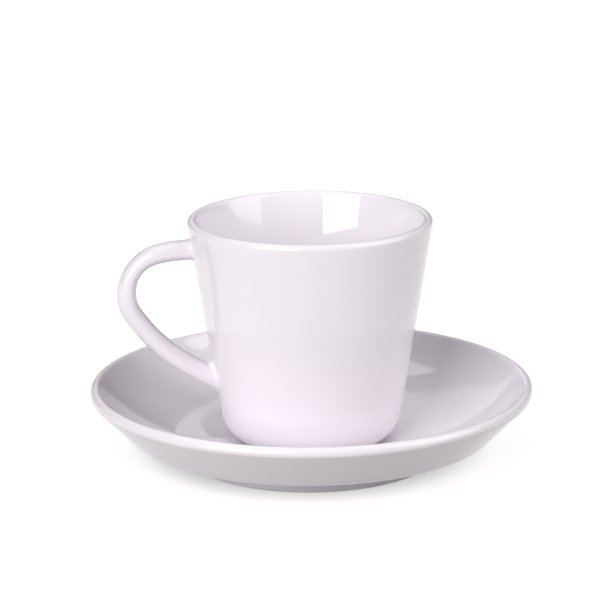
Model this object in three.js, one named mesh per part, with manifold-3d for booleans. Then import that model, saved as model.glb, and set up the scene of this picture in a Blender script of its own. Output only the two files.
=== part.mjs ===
// Porcelain coffee cup standing in its saucer. Millimetres, +Z up, table at z = 0, handle along -X.
import * as THREE from 'three';
import { mergeVertices } from 'three/addons/utils/BufferGeometryUtils.js';
import Module from 'manifold-3d';

const wasm = await Module();
wasm.setup();

const degree = Math.PI / 180;
const arcTolerance = 0.03;

// Saucer
const saucerRadius = 72.8;
const saucerHeight = 24.6;
const saucerThickness = 3.8;
const saucerWallAngle = 46.3 * degree;
const saucerKneeRadius = 5.7;
const saucerFootRadius = 41.9;
const saucerFootWidth = 3.6;
const saucerFootDraft = 0.5;
const saucerFootRound = 0.8;
const saucerUndersideHeight = 5.6;
const saucerUndersideSlope = 8.4 * degree;
const saucerRecess = 1.2;
const saucerFloorThickness = 3.4;
const saucerBowlSlope = 10 * degree;
const saucerBowlRoundShare = 0.8;
const saucerSegments = 64;

// Cup
const cupRimRadius = 40;
const cupHeight = 75.6;
const cupThickness = 3.2;
const cupLean = 9.2 * degree;
const cupInsideLean = 12.6 * degree;
const cupCornerRadius = 10;
const cupInsideCornerRadius = 10;
const cupFloorThickness = 5;
const cupFootHeight = 1;
const cupFootInset = 0.6;
const cupFootWidth = 3;
const cupFootRound = 0.35;
const cupSegments = 56;

// Shallow well that keeps the cup's foot in place
const wellDepth = 0.6;
const wellClearance = 1.4;
const wellRound = 0.4;

// Handle, a bar of rounded section bent in three arcs, thinnest in the middle of the tight bend
const handleDrop = 9.4;
const handleRise = 3.5 * degree;
const handleTopRadius = 38.5;
const handleTopTurn = 17 * degree;
const handleBendRadius = 13.2;
const handleBendTurn = 109.4 * degree;
const handleSweepRadius = 56.9;
const handleThickness = 6.5;
const handleThinning = 1;
const handleThinHeading = -47 * degree;
const handleThinSpread = 35 * degree;
const handleWidth = 8.6;
const handleFullness = 2.3;
const handleFillet = 1.4;
const handleRoot = 3;
const handleSides = 18;
const handleStep = 1.8;
const handleFineStep = 0.5;
const luteGap = 0.3;

// Heights and places that follow from the sizes above
const seatHeight = saucerRecess + saucerFloorThickness;
const cupTop = seatHeight + cupHeight;
const cupBase = seatHeight + cupFootHeight;
const cupRimRound = cupThickness / 2;

function wallRadius(height, outward = 0) {
  const centre = cupRimRadius - cupRimRound;
  const drop = cupTop - cupRimRound - height;
  return centre + (cupRimRound + outward) / Math.cos(cupLean) - drop * Math.tan(cupLean);
}

const cupCornerStart = wallRadius(cupBase + cupCornerRadius, -cupCornerRadius);
const cupFootRadius = cupCornerStart - cupFootInset;
const wellRadius = cupFootRadius + wellClearance;
const bowlHeight = seatHeight + wellDepth;

function polar(angle, length) {
  return new THREE.Vector2(Math.cos(angle), Math.sin(angle)).multiplyScalar(length);
}

function crossing(firstPoint, firstAngle, secondPoint, secondAngle) {
  const along = polar(firstAngle, 1);
  const across = polar(secondAngle, 1);
  const reach = secondPoint.clone().sub(firstPoint).cross(across) / along.cross(across);
  return firstPoint.clone().addScaledVector(along, reach);
}

function corner(r, z, round = 0) {
  return { at: new THREE.Vector2(r, z), round };
}

// Largest turn of one chord that stays within the tolerance of its arc.
function arcStep(radius) {
  return 2 * Math.acos(Math.max(0, 1 - arcTolerance / radius));
}

// Replaces each corner of an outline by an arc that touches both of its sides.
function roundCorners(corners) {
  const outline = [];
  corners.forEach(({ at, round }, index) => {
    if (round === 0) {
      outline.push(at);
      return;
    }
    const back = corners[index - 1].at.clone().sub(at).normalize();
    const ahead = corners[index + 1].at.clone().sub(at).normalize();
    const half = Math.acos(THREE.MathUtils.clamp(back.dot(ahead), -1, 1)) / 2;
    const centre = back.clone().add(ahead).setLength(round / Math.sin(half)).add(at);
    const from = back.multiplyScalar(round / Math.tan(half)).add(at).sub(centre);
    const to = ahead.multiplyScalar(round / Math.tan(half)).add(at).sub(centre);
    const turn = Math.atan2(from.cross(to), from.dot(to));
    const steps = Math.ceil(Math.abs(turn) / arcStep(round));
    for (let step = 0; step <= steps; step += 1) {
      const point = from.clone().rotateAround(new THREE.Vector2(), turn * step / steps).add(centre);
      if (outline.length === 0 || outline.at(-1).distanceTo(point) > 1e-4) {
        outline.push(point);
      }
    }
  });
  return outline;
}

function revolve(corners, segments) {
  return new THREE.LatheGeometry(roundCorners(corners), segments).rotateX(Math.PI / 2);
}

function toSolid(geometry) {
  geometry.deleteAttribute('normal');
  geometry.deleteAttribute('uv');
  const welded = mergeVertices(geometry, 1e-5);
  return new wasm.Manifold(new wasm.Mesh({
    numProp: 3,
    vertProperties: new Float32Array(welded.attributes.position.array),
    triVerts: new Uint32Array(welded.index.array),
  }));
}

function toGeometry(solid) {
  const mesh = solid.getMesh();
  const geometry = new THREE.BufferGeometry();
  geometry.setAttribute('position', new THREE.BufferAttribute(new Float32Array(mesh.vertProperties), 3));
  geometry.setIndex(new THREE.BufferAttribute(new Uint32Array(mesh.triVerts), 1));
  geometry.computeVertexNormals();
  return geometry;
}

function saucerGeometry() {
  const rimRound = saucerThickness / 2;
  const rimCentre = new THREE.Vector2(saucerRadius - rimRound, saucerHeight - rimRound);
  const wallSide = polar(saucerWallAngle - Math.PI / 2, rimRound);
  const rimTip = polar(saucerWallAngle, rimRound).add(rimCentre);
  const outerTip = rimTip.clone().add(wallSide);
  const innerTip = rimTip.clone().sub(wallSide);

  const footTop = new THREE.Vector2(saucerFootRadius + saucerFootDraft, saucerUndersideHeight);
  const knee = crossing(footTop, saucerUndersideSlope, outerTip, saucerWallAngle);
  const wellEdge = new THREE.Vector2(wellRadius, bowlHeight);
  const bowl = crossing(wellEdge, saucerBowlSlope, innerTip, saucerWallAngle);
  const bowlCut = saucerBowlRoundShare * (bowl.distanceTo(innerTip) - rimRound);
  const bowlRound = bowlCut / Math.tan((saucerWallAngle - saucerBowlSlope) / 2);
  const footInside = saucerFootRadius - saucerFootWidth;

  return revolve([
    corner(0, saucerRecess),
    corner(footInside - saucerFootDraft, saucerRecess, saucerFootRound),
    corner(footInside, 0, saucerFootRound / 2),
    corner(saucerFootRadius, 0, saucerFootRound),
    corner(footTop.x, footTop.y, saucerFootRound),
    corner(knee.x, knee.y, saucerKneeRadius),
    corner(outerTip.x, outerTip.y, rimRound),
    corner(innerTip.x, innerTip.y, rimRound),
    corner(bowl.x, bowl.y, bowlRound),
    corner(wellEdge.x, wellEdge.y, wellRound),
    corner(wellRadius - wellRound, seatHeight, wellRound / 2),
    corner(0, seatHeight),
  ], saucerSegments);
}

function cupGeometry() {
  const rimCentre = new THREE.Vector2(cupRimRadius - cupRimRound, cupTop - cupRimRound);
  const wallAngle = Math.PI / 2 - cupLean;
  const wallSide = polar(-cupLean, cupRimRound);
  const rimTip = polar(wallAngle, cupRimRound).add(rimCentre);
  const outerTip = rimTip.clone().add(wallSide);
  const innerTip = rimTip.clone().sub(wallSide);

  const floorHeight = cupBase + cupFloorThickness;
  const outerCorner = crossing(new THREE.Vector2(0, cupBase), 0, outerTip, wallAngle);
  const insideAngle = Math.PI / 2 - cupInsideLean;
  const innerCorner = crossing(new THREE.Vector2(0, floorHeight), 0, innerTip, insideAngle);
  const footInside = cupFootRadius - cupFootWidth;

  return revolve([
    corner(0, cupBase),
    corner(footInside, cupBase, cupFootRound),
    corner(footInside, seatHeight, cupFootRound),
    corner(cupFootRadius, seatHeight, cupFootRound),
    corner(cupFootRadius, cupBase, cupFootRound),
    corner(outerCorner.x, outerCorner.y, cupCornerRadius),
    corner(outerTip.x, outerTip.y, cupRimRound),
    corner(innerTip.x, innerTip.y, cupRimRound),
    corner(innerCorner.x, innerCorner.y, cupInsideCornerRadius),
    corner(0, floorHeight),
  ], cupSegments);
}

// Centre line in the upright plane of the handle: x is the distance from the cup's axis, y the height.
function handleLine() {
  const line = [];
  let heading = handleRise;
  const startHeight = cupTop - handleDrop;
  const place = new THREE.Vector2(wallRadius(startHeight), startHeight).sub(polar(heading, handleRoot));
  const advance = (length, turn) => {
    place.add(polar(heading - turn / 2, length));
    heading -= turn;
    line.push({ at: place.clone(), heading });
  };
  const bend = (radius, turn, step) => {
    const count = Math.ceil(radius * turn / step);
    for (let index = 0; index < count; index += 1) {
      advance(radius * turn / count, turn / count);
    }
  };
  line.push({ at: place.clone(), heading });
  advance(handleRoot, 0);
  const filletTurn = handleFillet / handleTopRadius;
  bend(handleTopRadius, filletTurn, handleFineStep);
  bend(handleTopRadius, handleTopTurn - filletTurn, handleStep);
  bend(handleBendRadius, handleBendTurn, handleStep);
  let gap = place.x - wallRadius(place.y);
  while (gap > -handleRoot) {
    const step = gap > handleThickness ? handleStep : handleFineStep;
    advance(step, step / handleSweepRadius);
    gap = place.x - wallRadius(place.y);
  }
  return line;
}

// Widening, along the wall, of a surface that meets the wall under an angle with the given cosine:
// the arc of the fillet touches the wall and the surface.
function filletSwell(distance, cosine) {
  const height = Math.max(0, distance);
  if (height >= handleFillet * (1 + cosine)) {
    return 0;
  }
  const sine = Math.sqrt(1 - cosine ** 2);
  const arc = Math.sqrt(handleFillet ** 2 - (handleFillet - height) ** 2);
  return (handleFillet * (1 + cosine) - height * cosine) / sine - arc;
}

// Coordinate of an oval that is fuller than an ellipse.
function fullOval(value) {
  return Math.sign(value) * Math.abs(value) ** (2 / handleFullness);
}

function handleSection({ at, heading }) {
  const fromThinnest = (heading - handleThinHeading) / handleThinSpread;
  const thickness = handleThickness - handleThinning * Math.exp(-(fromThinnest ** 2));
  const upright = new THREE.Vector3(Math.sin(heading), 0, Math.cos(heading));
  const centre = new THREE.Vector3(-at.x, 0, at.y);
  const section = [];
  for (let index = 0; index < handleSides; index += 1) {
    const angle = 2 * Math.PI * index / handleSides;
    const spoke = upright.clone().multiplyScalar(fullOval(Math.cos(angle)) * thickness / 2);
    spoke.y = fullOval(Math.sin(angle)) * handleWidth / 2;
    const point = centre.clone().add(spoke);
    const axisDistance = Math.hypot(point.x, point.y);
    const wallDistance = (axisDistance - wallRadius(point.z)) * Math.cos(cupLean);
    const wallNormal = new THREE.Vector3(point.x / axisDistance, point.y / axisDistance, -Math.tan(cupLean));
    wallNormal.normalize();
    spoke.normalize();
    const swell = filletSwell(wallDistance, -spoke.dot(wallNormal));
    section.push(point.addScaledVector(spoke.projectOnPlane(wallNormal).normalize(), swell));
  }
  return section;
}

function handleGeometry() {
  const sections = handleLine().map(handleSection);
  const points = sections.flat();
  const faces = [];
  for (let row = 0; row < sections.length - 1; row += 1) {
    for (let side = 0; side < handleSides; side += 1) {
      const next = (side + 1) % handleSides;
      const near = row * handleSides;
      const far = near + handleSides;
      faces.push(near + side, near + next, far + next, near + side, far + next, far + side);
    }
  }
  const last = (sections.length - 1) * handleSides;
  for (let side = 1; side < handleSides - 1; side += 1) {
    faces.push(0, side + 1, side);
    faces.push(last, last + side, last + side + 1);
  }
  const bar = new THREE.BufferGeometry().setFromPoints(points);
  bar.setIndex(faces);

  // The ends are cut to the cup's wall, a slip joint's thickness away from it.
  const reach = cupTop + handleThickness;
  const wall = revolve([
    corner(0, 0),
    corner(wallRadius(0, luteGap), 0),
    corner(wallRadius(reach, luteGap), reach),
    corner(0, reach),
  ], cupSegments);
  return toGeometry(toSolid(bar).subtract(toSolid(wall)));
}

const glaze = new THREE.MeshStandardMaterial({ color: 0xf1ecf2, roughness: 0.12, metalness: 0 });

function piece(name, geometry) {
  const mesh = new THREE.Mesh(geometry, glaze.clone());
  mesh.name = name;
  return mesh;
}

const cupWithSaucer = new THREE.Group();
cupWithSaucer.name = 'cup_with_saucer';
cupWithSaucer.add(
  piece('saucer', toGeometry(toSolid(saucerGeometry()))),
  piece('cup_body', toGeometry(toSolid(cupGeometry()))),
  piece('cup_handle', handleGeometry()),
);

export default cupWithSaucer;
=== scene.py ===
import bmesh
import bpy
import math
from mathutils import Matrix, Vector


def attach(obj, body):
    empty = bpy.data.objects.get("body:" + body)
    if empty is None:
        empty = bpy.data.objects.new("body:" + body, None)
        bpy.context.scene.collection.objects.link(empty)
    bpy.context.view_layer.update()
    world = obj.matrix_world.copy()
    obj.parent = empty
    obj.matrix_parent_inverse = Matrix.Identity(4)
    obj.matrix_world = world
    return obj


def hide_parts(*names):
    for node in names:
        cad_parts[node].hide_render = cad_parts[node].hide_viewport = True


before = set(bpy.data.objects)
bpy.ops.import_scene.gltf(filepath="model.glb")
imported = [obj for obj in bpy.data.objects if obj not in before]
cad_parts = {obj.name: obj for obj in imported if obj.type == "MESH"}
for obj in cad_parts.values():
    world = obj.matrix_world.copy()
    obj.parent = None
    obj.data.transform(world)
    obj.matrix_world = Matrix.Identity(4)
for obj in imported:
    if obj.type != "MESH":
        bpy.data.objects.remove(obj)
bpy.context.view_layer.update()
mm = 0.001
print("frame loaded:", sorted(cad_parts))


# small helpers used by every piece

def deselectAll():
    if bpy.context.mode != "OBJECT":
        bpy.ops.object.mode_set(mode="OBJECT")
    bpy.ops.object.select_all(action="DESELECT")


def polar(angle, length):
    return Vector((math.cos(angle), math.sin(angle))) * length


def crossing(pointA, angleA, pointB, angleB):
    along, across = polar(angleA, 1), polar(angleB, 1)
    gap = pointB - pointA
    reach = (gap.x * across.y - gap.y * across.x) / (along.x * across.y - along.y * across.x)
    return pointA + along * reach


outlineDetail = {"arcStep": math.radians(6), "straightStep": 2.5, "samePlace": 0.01}   # lengths in mm
weldGap = 0.002 * mm


def roundedOutline(corners):
    # corners are (distance from the axis, height, rounding) in mm, from the bottom pole to the top one
    points = []
    for index, (r, z, rounding) in enumerate(corners):
        at = Vector((r, z))
        stretch = [at]
        if rounding:
            back = (Vector(corners[index - 1][:2]) - at).normalized()
            ahead = (Vector(corners[index + 1][:2]) - at).normalized()
            half = back.angle(ahead) / 2
            centre = at + (back + ahead).normalized() * (rounding / math.sin(half))
            spoke = at + back * (rounding / math.tan(half)) - centre
            side = math.copysign(1, ahead.x * back.y - ahead.y * back.x)
            turn = side * (math.pi - 2 * half)
            steps = math.ceil(abs(turn) / outlineDetail["arcStep"])
            stretch = [centre + Matrix.Rotation(turn * step / steps, 2) @ spoke
                       for step in range(steps + 1)]
        if points:
            run = stretch[0] - points[-1]
            cuts = math.ceil(run.length / outlineDetail["straightStep"])
            points += [points[-1] + run * (cut / cuts) for cut in range(1, cuts)]
            if run.length < outlineDetail["samePlace"]:
                stretch = stretch[1:]
        points += stretch
    return points


def spinOutline(name, outline, steps):
    # one vertex is drawn out along the outline and spun round the axis
    deselectAll()
    bpy.ops.mesh.primitive_plane_add(size=2 * mm, location=(0, 0, 0))
    piece = bpy.context.object
    piece.name = piece.data.name = name
    bpy.ops.object.mode_set(mode="EDIT")
    bpy.ops.mesh.select_all(action="SELECT")
    bpy.ops.mesh.merge(type="CENTER")
    bpy.ops.mesh.select_all(action="SELECT")
    bpy.ops.transform.translate(value=(outline[0].x * mm, 0, outline[0].y * mm))
    for here, there in zip(outline, outline[1:]):
        step = (there - here) * mm
        bpy.ops.mesh.extrude_vertices_move(TRANSFORM_OT_translate={"value": (step.x, 0, step.y)})
    bpy.ops.mesh.select_all(action="SELECT")
    bpy.ops.mesh.spin(steps=steps, angle=math.tau, center=(0, 0, 0), axis=(0, 0, 1))
    bpy.ops.mesh.select_all(action="SELECT")
    bpy.ops.mesh.remove_doubles(threshold=weldGap)
    bpy.ops.mesh.normals_make_consistent(inside=False)
    bpy.ops.object.mode_set(mode="OBJECT")
    bpy.ops.object.shade_smooth()
    return piece


bareBand = {"height": 0.16 * mm, "facing": -0.5}   # how far up and how steep the unglazed ring goes


def paintFoot(piece, footHeight, glaze, bareClay):
    # the ring that the piece was fired on has no glaze
    piece.data.materials.append(glaze)
    piece.data.materials.append(bareClay)
    for face in piece.data.polygons:
        lowEnough = face.center.z < footHeight + bareBand["height"]
        face.material_index = 1 if lowEnough and face.normal.z < bareBand["facing"] else 0


# materials

def newGroup(name, inputs, outputs):
    group = bpy.data.node_groups.new(name, "ShaderNodeTree")
    for socketName, socketType, value in inputs:
        socket = group.interface.new_socket(socketName, in_out="INPUT", socket_type=socketType)
        socket.default_value = value
    for socketName, socketType in outputs:
        group.interface.new_socket(socketName, in_out="OUTPUT", socket_type=socketType)
    return group, group.nodes.new("NodeGroupInput"), group.nodes.new("NodeGroupOutput")


def addNode(tree, kind, settings=None, **values):
    node = tree.nodes.new(kind)
    for key, value in (settings or {}).items():
        setattr(node, key, value)
    for key, value in values.items():
        node.inputs[key].default_value = value
    return node


glazeLook = {
    "body": (0.90, 0.85, 0.908, 1),
    "cloud": (0.885, 0.834, 0.889, 1), "cloudScale": 38.0, "cloudFrom": 0.35, "cloudTo": 0.7,
    "speck": (0.42, 0.36, 0.31, 1), "speckCells": 300.0, "speckRarity": 0.998, "speckSize": 0.08,
    "gloss": 0.03, "cloudDulls": 0.02, "ior": 1.52,
    "waveScale": 55.0, "waveDepth": 0.05 * mm, "peelScale": 420.0, "peelShare": 0.06,
}


def makeGlazeGroup(look):
    group, take, give = newGroup("glazeSurface", [
        ("Body", "NodeSocketColor", look["body"]),
        ("Cloud", "NodeSocketColor", look["cloud"]),
        ("Speck", "NodeSocketColor", look["speck"]),
        ("Gloss", "NodeSocketFloat", look["gloss"]),
        ("Speck Size", "NodeSocketFloat", look["speckSize"]),
    ], [("Colour", "NodeSocketColor"), ("Roughness", "NodeSocketFloat"), ("Height", "NodeSocketFloat")])
    link = group.links.new
    place = addNode(group, "ShaderNodeTexCoord")

    # the glaze lies thicker in soft clouds
    clouds = addNode(group, "ShaderNodeTexNoise", Scale=look["cloudScale"], Detail=3.0, Roughness=0.55)
    link(place.outputs["Object"], clouds.inputs["Vector"])
    cloudMask = addNode(group, "ShaderNodeMapRange")
    cloudMask.inputs["From Min"].default_value = look["cloudFrom"]
    cloudMask.inputs["From Max"].default_value = look["cloudTo"]
    link(clouds.outputs["Fac"], cloudMask.inputs["Value"])
    tint = addNode(group, "ShaderNodeMix", {"data_type": "RGBA"})
    link(cloudMask.outputs["Result"], tint.inputs["Factor"])
    link(take.outputs["Body"], tint.inputs["A"])
    link(take.outputs["Cloud"], tint.inputs["B"])

    # rare iron specks: one cell in many, and a dot in the middle of it
    cells = addNode(group, "ShaderNodeTexVoronoi", Scale=look["speckCells"])
    link(place.outputs["Object"], cells.inputs["Vector"])
    chosen = addNode(group, "ShaderNodeSeparateColor")
    link(cells.outputs["Color"], chosen.inputs["Color"])
    rare = addNode(group, "ShaderNodeMath", {"operation": "GREATER_THAN"})
    rare.inputs[1].default_value = look["speckRarity"]
    link(chosen.outputs["Red"], rare.inputs[0])
    dot = addNode(group, "ShaderNodeMath", {"operation": "LESS_THAN"})
    link(cells.outputs["Distance"], dot.inputs[0])
    link(take.outputs["Speck Size"], dot.inputs[1])
    speckMask = addNode(group, "ShaderNodeMath", {"operation": "MULTIPLY"})
    link(rare.outputs["Value"], speckMask.inputs[0])
    link(dot.outputs["Value"], speckMask.inputs[1])
    spotted = addNode(group, "ShaderNodeMix", {"data_type": "RGBA"})
    link(speckMask.outputs["Value"], spotted.inputs["Factor"])
    link(tint.outputs["Result"], spotted.inputs["A"])
    link(take.outputs["Speck"], spotted.inputs["B"])
    link(spotted.outputs["Result"], give.inputs["Colour"])

    # gloss drops a little in the clouds
    gloss = addNode(group, "ShaderNodeMath", {"operation": "MULTIPLY_ADD"})
    gloss.inputs[1].default_value = look["cloudDulls"]
    link(cloudMask.outputs["Result"], gloss.inputs[0])
    link(take.outputs["Gloss"], gloss.inputs[2])
    link(gloss.outputs["Value"], give.inputs["Roughness"])

    # slow waves from the forming and a fine orange peel
    waves = addNode(group, "ShaderNodeTexNoise", Scale=look["waveScale"], Detail=1.0, Roughness=0.4)
    link(place.outputs["Object"], waves.inputs["Vector"])
    peel = addNode(group, "ShaderNodeTexNoise", Scale=look["peelScale"], Detail=2.0, Roughness=0.5)
    link(place.outputs["Object"], peel.inputs["Vector"])
    height = addNode(group, "ShaderNodeMath", {"operation": "MULTIPLY_ADD"})
    height.inputs[1].default_value = look["peelShare"]
    link(peel.outputs["Fac"], height.inputs[0])
    link(waves.outputs["Fac"], height.inputs[2])
    link(height.outputs["Value"], give.inputs["Height"])
    return group


def makeGlaze(name, glazeGroup, look):
    material = bpy.data.materials.new(name)
    material.use_nodes = True
    tree = material.node_tree
    shader = tree.nodes["Principled BSDF"]
    shader.inputs["IOR"].default_value = look["ior"]
    surface = addNode(tree, "ShaderNodeGroup", {"node_tree": glazeGroup})
    surface.inputs["Body"].default_value = look["body"]
    surface.inputs["Cloud"].default_value = look["cloud"]
    surface.inputs["Gloss"].default_value = look["gloss"]
    bump = addNode(tree, "ShaderNodeBump", Strength=1.0, Distance=look["waveDepth"])
    tree.links.new(surface.outputs["Colour"], shader.inputs["Base Color"])
    tree.links.new(surface.outputs["Roughness"], shader.inputs["Roughness"])
    tree.links.new(surface.outputs["Height"], bump.inputs["Height"])
    tree.links.new(bump.outputs["Normal"], shader.inputs["Normal"])
    return material


clayLook = {
    "dark": (0.44, 0.41, 0.38, 1), "darkTo": 0.38, "pale": (0.70, 0.66, 0.61, 1), "paleFrom": 0.62,
    "scuffScale": 160.0, "grainScale": 1600.0, "grainStrength": 0.8, "grainDepth": 0.06 * mm,
    "smoothest": 0.55, "roughest": 0.85,
}


def makeBareClay(look):
    material = bpy.data.materials.new("bareClay")
    material.use_nodes = True
    tree = material.node_tree
    shader = tree.nodes["Principled BSDF"]
    place = addNode(tree, "ShaderNodeTexCoord")
    grain = addNode(tree, "ShaderNodeTexNoise", Scale=look["grainScale"], Detail=4.0)
    scuffs = addNode(tree, "ShaderNodeTexNoise", Scale=look["scuffScale"], Detail=5.0)
    tone = addNode(tree, "ShaderNodeValToRGB")
    dark, pale = tone.color_ramp.elements
    dark.position, dark.color = look["darkTo"], look["dark"]
    pale.position, pale.color = look["paleFrom"], look["pale"]
    rough = addNode(tree, "ShaderNodeMapRange")
    rough.inputs["To Min"].default_value = look["smoothest"]
    rough.inputs["To Max"].default_value = look["roughest"]
    bump = addNode(tree, "ShaderNodeBump", Strength=look["grainStrength"], Distance=look["grainDepth"])
    tree.links.new(place.outputs["Object"], grain.inputs["Vector"])
    tree.links.new(place.outputs["Object"], scuffs.inputs["Vector"])
    tree.links.new(scuffs.outputs["Fac"], tone.inputs["Fac"])
    tree.links.new(tone.outputs["Color"], shader.inputs["Base Color"])
    tree.links.new(grain.outputs["Fac"], rough.inputs["Value"])
    tree.links.new(rough.outputs["Result"], shader.inputs["Roughness"])
    tree.links.new(grain.outputs["Fac"], bump.inputs["Height"])
    tree.links.new(bump.outputs["Normal"], shader.inputs["Normal"])
    return material


glazeGroup = makeGlazeGroup(glazeLook)
cupGlaze = makeGlaze("cupGlaze", glazeGroup, glazeLook)
saucerGlaze = makeGlaze("saucerGlaze", glazeGroup, glazeLook)
handleGlaze = makeGlaze("handleGlaze", glazeGroup, glazeLook)
bareClay = makeBareClay(clayLook)
print("glaze and clay mixed")


# saucer

saucer = {
    "radius": 72.8, "height": 24.6, "thickness": 3.8, "wallAngle": math.radians(46.3),
    "kneeRound": 5.7, "footRadius": 41.9, "footWidth": 3.6, "footDraft": 0.5, "footRound": 0.8,
    "underHeight": 5.6, "underSlope": math.radians(8.4), "recess": 1.2, "seatHeight": 4.6,
    "bowlSlope": math.radians(10), "bowlRound": 0.8,
    "wellDepth": 0.6, "wellRadius": 20.5, "wellRound": 0.4,
    "steps": 192,
}


def makeSaucer(size):
    lip = size["thickness"] / 2
    lipCentre = Vector((size["radius"] - lip, size["height"] - lip))
    wallSide = polar(size["wallAngle"] - math.pi / 2, lip)
    lipTip = lipCentre + polar(size["wallAngle"], lip)
    outerTip, innerTip = lipTip + wallSide, lipTip - wallSide
    footTop = Vector((size["footRadius"] + size["footDraft"], size["underHeight"]))
    knee = crossing(footTop, size["underSlope"], outerTip, size["wallAngle"])
    wellEdge = Vector((size["wellRadius"], size["seatHeight"] + size["wellDepth"]))
    bowl = crossing(wellEdge, size["bowlSlope"], innerTip, size["wallAngle"])
    bowlCut = size["bowlRound"] * ((bowl - innerTip).length - lip)
    bowlRadius = bowlCut / math.tan((size["wallAngle"] - size["bowlSlope"]) / 2)
    footInside = size["footRadius"] - size["footWidth"]
    outline = roundedOutline([
        (0, size["recess"], 0),
        (footInside - size["footDraft"], size["recess"], size["footRound"]),
        (footInside, 0, size["footRound"] / 2),
        (size["footRadius"], 0, size["footRound"]),
        (footTop.x, footTop.y, size["footRound"]),
        (knee.x, knee.y, size["kneeRound"]),
        (outerTip.x, outerTip.y, lip),
        (innerTip.x, innerTip.y, lip),
        (bowl.x, bowl.y, bowlRadius),
        (wellEdge.x, wellEdge.y, size["wellRound"]),
        (size["wellRadius"] - size["wellRound"], size["seatHeight"], size["wellRound"] / 2),
        (0, size["seatHeight"], 0),
    ])
    return spinOutline("saucerDish", outline, size["steps"])


saucerDish = makeSaucer(saucer)
paintFoot(saucerDish, 0, saucerGlaze, bareClay)
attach(saucerDish, "saucer")
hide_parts("saucer")
print("saucer turned:", len(saucerDish.data.polygons), "faces")


# cup

cup = {
    "rimRadius": 40, "top": 80.2, "thickness": 3.2,
    "lean": math.radians(9.2), "insideLean": math.radians(12.6),
    "cornerRound": 10, "insideRound": 10, "floorThickness": 5,
    "seatHeight": saucer["seatHeight"],
    "footHeight": 1, "footRadius": 19.1, "footWidth": 3, "footRound": 0.35,
    "steps": 176,
}


def makeCup(size):
    lip = size["thickness"] / 2
    wallAngle = math.pi / 2 - size["lean"]
    lipCentre = Vector((size["rimRadius"] - lip, size["top"] - lip))
    wallSide = polar(-size["lean"], lip)
    lipTip = lipCentre + polar(wallAngle, lip)
    outerTip, innerTip = lipTip + wallSide, lipTip - wallSide
    base = size["seatHeight"] + size["footHeight"]
    floorHeight = base + size["floorThickness"]
    outerCorner = crossing(Vector((0, base)), 0, outerTip, wallAngle)
    innerCorner = crossing(Vector((0, floorHeight)), 0, innerTip, math.pi / 2 - size["insideLean"])
    footInside = size["footRadius"] - size["footWidth"]
    outline = roundedOutline([
        (0, base, 0),
        (footInside, base, size["footRound"]),
        (footInside, size["seatHeight"], size["footRound"]),
        (size["footRadius"], size["seatHeight"], size["footRound"]),
        (size["footRadius"], base, size["footRound"]),
        (outerCorner.x, outerCorner.y, size["cornerRound"]),
        (outerTip.x, outerTip.y, lip),
        (innerTip.x, innerTip.y, lip),
        (innerCorner.x, innerCorner.y, size["insideRound"]),
        (0, floorHeight, 0),
    ])
    return spinOutline("cupBowl", outline, size["steps"])


cupBowl = makeCup(cup)
paintFoot(cupBowl, cup["seatHeight"] * mm, cupGlaze, bareClay)
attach(cupBowl, "cup")
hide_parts("cup_body")
print("cup turned:", len(cupBowl.data.polygons), "faces")


# handle: a rounded section spun along three arcs, then flared on to the wall

handle = {
    "drop": 9.4, "rise": math.radians(3.5),
    "topRadius": 38.5, "topTurn": math.radians(17),
    "bendRadius": 13.2, "bendTurn": math.radians(109.4),
    "sweepRadius": 56.9,
    "thickness": 6.5, "thinning": 1.0, "thinHeading": math.radians(-47), "thinSpread": math.radians(35),
    "width": 8.6, "fullness": 2.3, "sides": 36,
    "fillet": 1.4, "filletRows": 8, "topLead": 3.2, "lowLead": 6.6,
    "skirt": 0.5, "skirtDepth": 0.03, "root": 1.2,
    "stepLength": 0.9, "sweepStep": 0.1, "ringSlack": 0.02, "turnSlack": 0.001, "hitRounds": 8,
}


def wallRadius(height):
    # the cup's outer wall, in mm
    lip = cup["thickness"] / 2
    drop = cup["top"] - lip - height
    return cup["rimRadius"] - lip + lip / math.cos(cup["lean"]) - drop * math.tan(cup["lean"])


def wallGap(point):
    flat = math.hypot(point.x, point.y)
    return (flat - wallRadius(point.z / mm) * mm) * math.cos(cup["lean"])


def wallNormal(point):
    flat = math.hypot(point.x, point.y)
    return Vector((point.x / flat, point.y / flat, -math.tan(cup["lean"]))).normalized()


def toSpace(flat):
    # from the handle's upright plane (distance from the axis, height) to the scene
    return Vector((-flat.x, 0, flat.y)) * mm


def followArc(place, heading, radius, turn):
    centre = place + polar(heading - math.pi / 2, radius)
    return centre, centre + polar(heading - turn + math.pi / 2, radius), heading - turn


def spinArc(place, heading, radius, turn):
    centre, place, endHeading = followArc(place, heading, radius, turn)
    steps = math.ceil(radius * turn / handle["stepLength"])
    bpy.ops.mesh.spin(steps=steps, angle=turn, center=toSpace(centre), axis=(0, 1, 0))
    return (centre, radius, endHeading, heading), place, endHeading


def thinBar(piece, arcs):
    # the bar is thinnest in the middle of the tight bend
    mesh = bmesh.from_edit_mesh(piece.data)
    for vertex in mesh.verts:
        flat = Vector((-vertex.co.x, vertex.co.z)) / mm
        for centre, radius, endHeading, startHeading in arcs:
            spoke = flat - centre
            heading = math.atan2(spoke.y, spoke.x) - math.pi / 2
            onArc = abs(spoke.length - radius) < handle["thickness"]
            slack = handle["turnSlack"]
            if onArc and endHeading - slack < heading < startHeading + slack:
                away = (heading - handle["thinHeading"]) / handle["thinSpread"]
                share = 1 - handle["thinning"] / handle["thickness"] * math.exp(-away ** 2)
                thinned = radius + (spoke.length - radius) * share
                moved = toSpace(centre + spoke.normalized() * thinned)
                vertex.co.x, vertex.co.z = moved.x, moved.z
                break
    bmesh.update_edit_mesh(piece.data)


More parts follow.
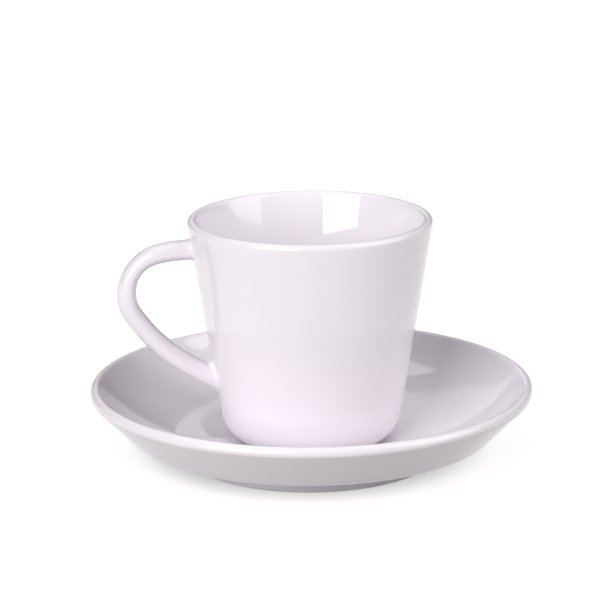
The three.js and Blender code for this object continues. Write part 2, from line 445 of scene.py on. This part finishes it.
def flarePoint(barPoint, ringCentre, inward, share):
    # the rounded inner corner between the bar and the wall; shares above 1 go on under the wall
    hit = barPoint.copy()
    for again in range(handle["hitRounds"]):
        hit += inward * (wallGap(hit) / -inward.dot(wallNormal(hit)))
    normal = wallNormal(hit)
    spoke = barPoint - ringCentre
    along = (spoke - normal * spoke.dot(normal)).normalized()
    if share > 2:
        return hit + inward * handle["root"] * mm
    cosine = -inward.dot(along)
    angle = math.acos(cosine)
    reach = handle["fillet"] * mm * (1 + cosine) / math.sin(angle)
    if share > 1:
        point = hit + along * (reach + handle["skirt"] * mm)
        return point - wallNormal(point) * (wallGap(point) + handle["skirtDepth"] * mm)
    start, end = hit - inward * reach, hit + along * reach
    pull = 2 * share * (1 - share) * math.sin(angle / 2)
    weight = (1 - share) ** 2 + pull + share ** 2
    point = (start * (1 - share) ** 2 + hit * pull + end * share ** 2) / weight
    flatGap = (point - hit).dot(normal)
    return point - normal * (wallGap(point) - flatGap)


def flareEnd(piece, ringCentre, inward):
    # the last ring is extruded row by row, each row placed on the fillet
    bpy.ops.mesh.select_all(action="DESELECT")
    mesh = bmesh.from_edit_mesh(piece.data)
    memory = mesh.verts.layers.float_vector.new("barPoint")
    for vertex in mesh.verts:
        offset = vertex.co - ringCentre
        inRing = abs(offset.dot(inward)) < handle["ringSlack"] * mm
        if inRing and offset.length < handle["width"] * mm:
            vertex.select = True
            vertex[memory] = vertex.co
    mesh.select_flush_mode()
    bmesh.update_edit_mesh(piece.data)
    shares = [row / handle["filletRows"] for row in range(handle["filletRows"] + 1)]
    for share in shares + [2, 3]:
        bpy.ops.mesh.extrude_region_move()
        mesh = bmesh.from_edit_mesh(piece.data)
        memory = mesh.verts.layers.float_vector["barPoint"]
        for vertex in mesh.verts:
            if vertex.select:
                vertex.co = flarePoint(vertex[memory], ringCentre, inward, share)
        bmesh.update_edit_mesh(piece.data)
    bpy.ops.mesh.edge_face_add()
    mesh = bmesh.from_edit_mesh(piece.data)
    mesh.verts.layers.float_vector.remove(mesh.verts.layers.float_vector["barPoint"])
    bmesh.update_edit_mesh(piece.data)


def makeHandle(size):
    startHeight = cup["top"] - size["drop"]
    place, heading = Vector((wallRadius(startHeight), startHeight)), size["rise"]
    leadTurn = size["topLead"] / size["topRadius"]
    place, heading = followArc(place, heading, size["topRadius"], leadTurn)[1:]

    # how far the long sweep runs before the lower flare takes over
    bends = [(size["topRadius"], size["topTurn"] - leadTurn), (size["bendRadius"], size["bendTurn"])]
    bendPlace, bendHeading = place, heading
    for radius, turn in bends:
        bendPlace, bendHeading = followArc(bendPlace, bendHeading, radius, turn)[1:]
    sweepTurn = 0
    gap = size["lowLead"] + 1
    while gap > size["lowLead"]:
        sweepTurn += size["sweepStep"] / size["sweepRadius"]
        end, endHeading = followArc(bendPlace, bendHeading, size["sweepRadius"], sweepTurn)[1:]
        gap = (end.x - wallRadius(end.y)) / -math.cos(endHeading)

    deselectAll()
    bpy.ops.mesh.primitive_circle_add(vertices=size["sides"], radius=1 * mm, location=(0, 0, 0))
    piece = bpy.context.object
    piece.name = piece.data.name = "cupHandle"
    startCentre = toSpace(place)
    startInward = toSpace(polar(heading, -1)).normalized()
    upright = toSpace(polar(heading + math.pi / 2, 1)).normalized()
    for vertex in piece.data.vertices:      # a full oval, flatter than an ellipse
        up, across = (math.copysign(abs(part / mm) ** (2 / size["fullness"]), part)
                      for part in vertex.co.xy)
        vertex.co = startCentre + upright * (up * size["thickness"] / 2 * mm)
        vertex.co.y += across * size["width"] / 2 * mm
    bpy.ops.object.mode_set(mode="EDIT")
    bpy.ops.mesh.select_all(action="SELECT")
    arcs = []
    for radius, turn in bends + [(size["sweepRadius"], sweepTurn)]:
        arc, place, heading = spinArc(place, heading, radius, turn)
        arcs.append(arc)
    thinBar(piece, arcs)
    flareEnd(piece, toSpace(place), toSpace(polar(heading, 1)).normalized())
    flareEnd(piece, startCentre, startInward)
    bpy.ops.mesh.select_all(action="SELECT")
    bpy.ops.mesh.remove_doubles(threshold=weldGap)
    bpy.ops.mesh.normals_make_consistent(inside=False)
    bpy.ops.object.mode_set(mode="OBJECT")
    bpy.ops.object.shade_smooth()
    return piece


cupHandle = makeHandle(handle)
cupHandle.data.materials.append(handleGlaze)
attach(cupHandle, "cup")
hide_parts("cup_handle")
print("handle bent:", len(cupHandle.data.polygons), "faces")


# floor, world and lamps

stage = {
    "floorSize": 60.0, "floorDrop": 0.05 * mm, "floorTone": (0.40, 0.38, 0.385, 1), "room": 0.07,
    # the floor's glow evens out the lamps' fall-off, and is dimmed in a disc under the saucer as a
    # painted shadow
    "glowNear": 0.78, "glowFar": 1.0, "nearRadius": 0.1, "farRadius": 1.6,
    "paintedShadowGlow": 0.4, "paintedShadowInner": 40 * mm, "paintedShadowOuter": 62 * mm, "paintedShadowCentre": (0, 9 * mm, 0),
}


def seenDirectly(tree):
    # 1 for rays from the camera and for mirrored or transmitted rays
    path = addNode(tree, "ShaderNodeLightPath")
    mirrored = addNode(tree, "ShaderNodeMath", {"operation": "MAXIMUM"})
    seen = addNode(tree, "ShaderNodeMath", {"operation": "MAXIMUM"})
    tree.links.new(path.outputs["Is Glossy Ray"], mirrored.inputs[0])
    tree.links.new(path.outputs["Is Transmission Ray"], mirrored.inputs[1])
    tree.links.new(path.outputs["Is Camera Ray"], seen.inputs[0])
    tree.links.new(mirrored.outputs["Value"], seen.inputs[1])
    return seen.outputs["Value"]


def makeFloor():
    deselectAll()
    bpy.ops.mesh.primitive_plane_add(size=stage["floorSize"], location=(0, 0, 0))
    floor = bpy.context.object
    floor.name = "floor"
    floor.data.transform(Matrix.Translation((0, 0, -stage["floorDrop"])))
    material = bpy.data.materials.new("paleFloor")
    material.use_nodes = True
    tree = material.node_tree
    tree.nodes.remove(tree.nodes["Principled BSDF"])
    matt = addNode(tree, "ShaderNodeBsdfDiffuse", Color=stage["floorTone"])
    glow = addNode(tree, "ShaderNodeEmission", Color=(1, 1, 1, 1))
    place = addNode(tree, "ShaderNodeTexCoord")
    evening = addNode(tree, "ShaderNodeMapRange")
    evening.inputs["From Min"].default_value = stage["nearRadius"]
    evening.inputs["From Max"].default_value = stage["farRadius"]
    evening.inputs["To Min"].default_value = stage["glowNear"]
    evening.inputs["To Max"].default_value = stage["glowFar"]
    reach = addNode(tree, "ShaderNodeVectorMath", {"operation": "DISTANCE"})
    reach.inputs[1].default_value = stage["paintedShadowCentre"]
    # painted shadow: the glow drops inside a disc under the saucer, set a little towards the back, and
    # mirrored rays see it too
    shade = addNode(tree, "ShaderNodeMapRange", {"interpolation_type": "SMOOTHSTEP"})
    shade.inputs["From Min"].default_value = stage["paintedShadowInner"]
    shade.inputs["From Max"].default_value = stage["paintedShadowOuter"]
    shade.inputs["To Min"].default_value = stage["paintedShadowGlow"]
    shaded = addNode(tree, "ShaderNodeMath", {"operation": "MULTIPLY"})
    strength = addNode(tree, "ShaderNodeMath", {"operation": "MULTIPLY"})
    tree.links.new(place.outputs["Object"], reach.inputs[0])
    tree.links.new(reach.outputs["Value"], evening.inputs["Value"])
    tree.links.new(reach.outputs["Value"], shade.inputs["Value"])
    tree.links.new(evening.outputs["Result"], shaded.inputs[0])
    tree.links.new(shade.outputs["Result"], shaded.inputs[1])
    tree.links.new(shaded.outputs["Value"], strength.inputs[1])
    both = addNode(tree, "ShaderNodeAddShader")
    tree.links.new(seenDirectly(tree), strength.inputs[0])
    tree.links.new(strength.outputs["Value"], glow.inputs["Strength"])
    tree.links.new(matt.outputs["BSDF"], both.inputs[0])
    tree.links.new(glow.outputs["Emission"], both.inputs[1])
    tree.links.new(both.outputs["Shader"], tree.nodes["Material Output"].inputs["Surface"])
    floor.data.materials.append(material)


def makeWorld():
    world = bpy.data.worlds.new("paleRoom")
    world.use_nodes = True
    tree = world.node_tree
    sky = tree.nodes["Background"]
    sky.inputs["Color"].default_value = (1, 1, 1, 1)
    sky.inputs["Strength"].default_value = stage["room"]
    bpy.context.scene.world = world


lampReach = {"distance": 1.2, "aimHeight": 35 * mm}
lamps = {     # azimuth as in the views: 0 stands in front at -Y, 90 to the right; sizes in metres
    "keySoftbox": {"azimuth": -42, "elevation": 25, "size": (0.87, 0.88), "power": 13.3},
    "fillSoftbox": {"azimuth": 66, "elevation": 34, "size": (0.93, 1.2), "power": 8.9},
    "backSoftbox": {"azimuth": 180, "elevation": 66, "size": (0.9, 0.6), "power": 3.1},
    "lowSoftbox": {"azimuth": 183, "elevation": 24, "size": (0.55, 0.5), "power": 0.5},
}


def direction(azimuth, elevation):
    a, e = math.radians(azimuth), math.radians(elevation)
    return Vector((math.sin(a) * math.cos(e), -math.cos(a) * math.cos(e), math.sin(e)))


def makeLamps():
    aim = Vector((0, 0, lampReach["aimHeight"]))
    for name, setup in lamps.items():
        toLamp = direction(setup["azimuth"], setup["elevation"])
        bpy.ops.object.light_add(type="AREA", location=aim + toLamp * lampReach["distance"])
        lamp = bpy.context.object
        lamp.name = name
        lamp.rotation_euler = toLamp.to_track_quat("Z", "Y").to_euler()
        lamp.data.shape = "RECTANGLE"
        lamp.data.size, lamp.data.size_y = setup["size"]
        lamp.data.energy = setup["power"]


makeFloor()
makeWorld()
makeLamps()
print("floor, room and lamps set")


# camera, fitted to the photograph's outlines

shot = {
    "imageWidth": 600, "focalPixels": 2811, "axisColumn": 310.75, "sensor": 36.0,
    "back": 888 * mm, "height": 291 * mm,
    "azimuth": -8, "pitch": 15.05, "roll": 0.47, "clipStart": 0.01,
}


def makeCamera():
    place = direction(shot["azimuth"], 0) * shot["back"] + Vector((0, 0, shot["height"]))
    bpy.ops.object.camera_add(location=place)
    camera = bpy.context.object
    turn = Matrix.Rotation(math.radians(shot["azimuth"]), 4, "Z")
    tilt = Matrix.Rotation(math.radians(90 - shot["pitch"]), 4, "X")
    roll = Matrix.Rotation(math.radians(-shot["roll"]), 4, "Z")
    camera.rotation_euler = (turn @ tilt @ roll).to_euler()
    camera.data.sensor_width = shot["sensor"]
    camera.data.lens = shot["sensor"] * shot["focalPixels"] / shot["imageWidth"]
    camera.data.shift_x = 0.5 - shot["axisColumn"] / shot["imageWidth"]
    camera.data.clip_start = shot["clipStart"]
    bpy.context.scene.camera = camera


makeCamera()
bpy.context.scene.view_settings.view_transform = "Standard"
print("camera set")
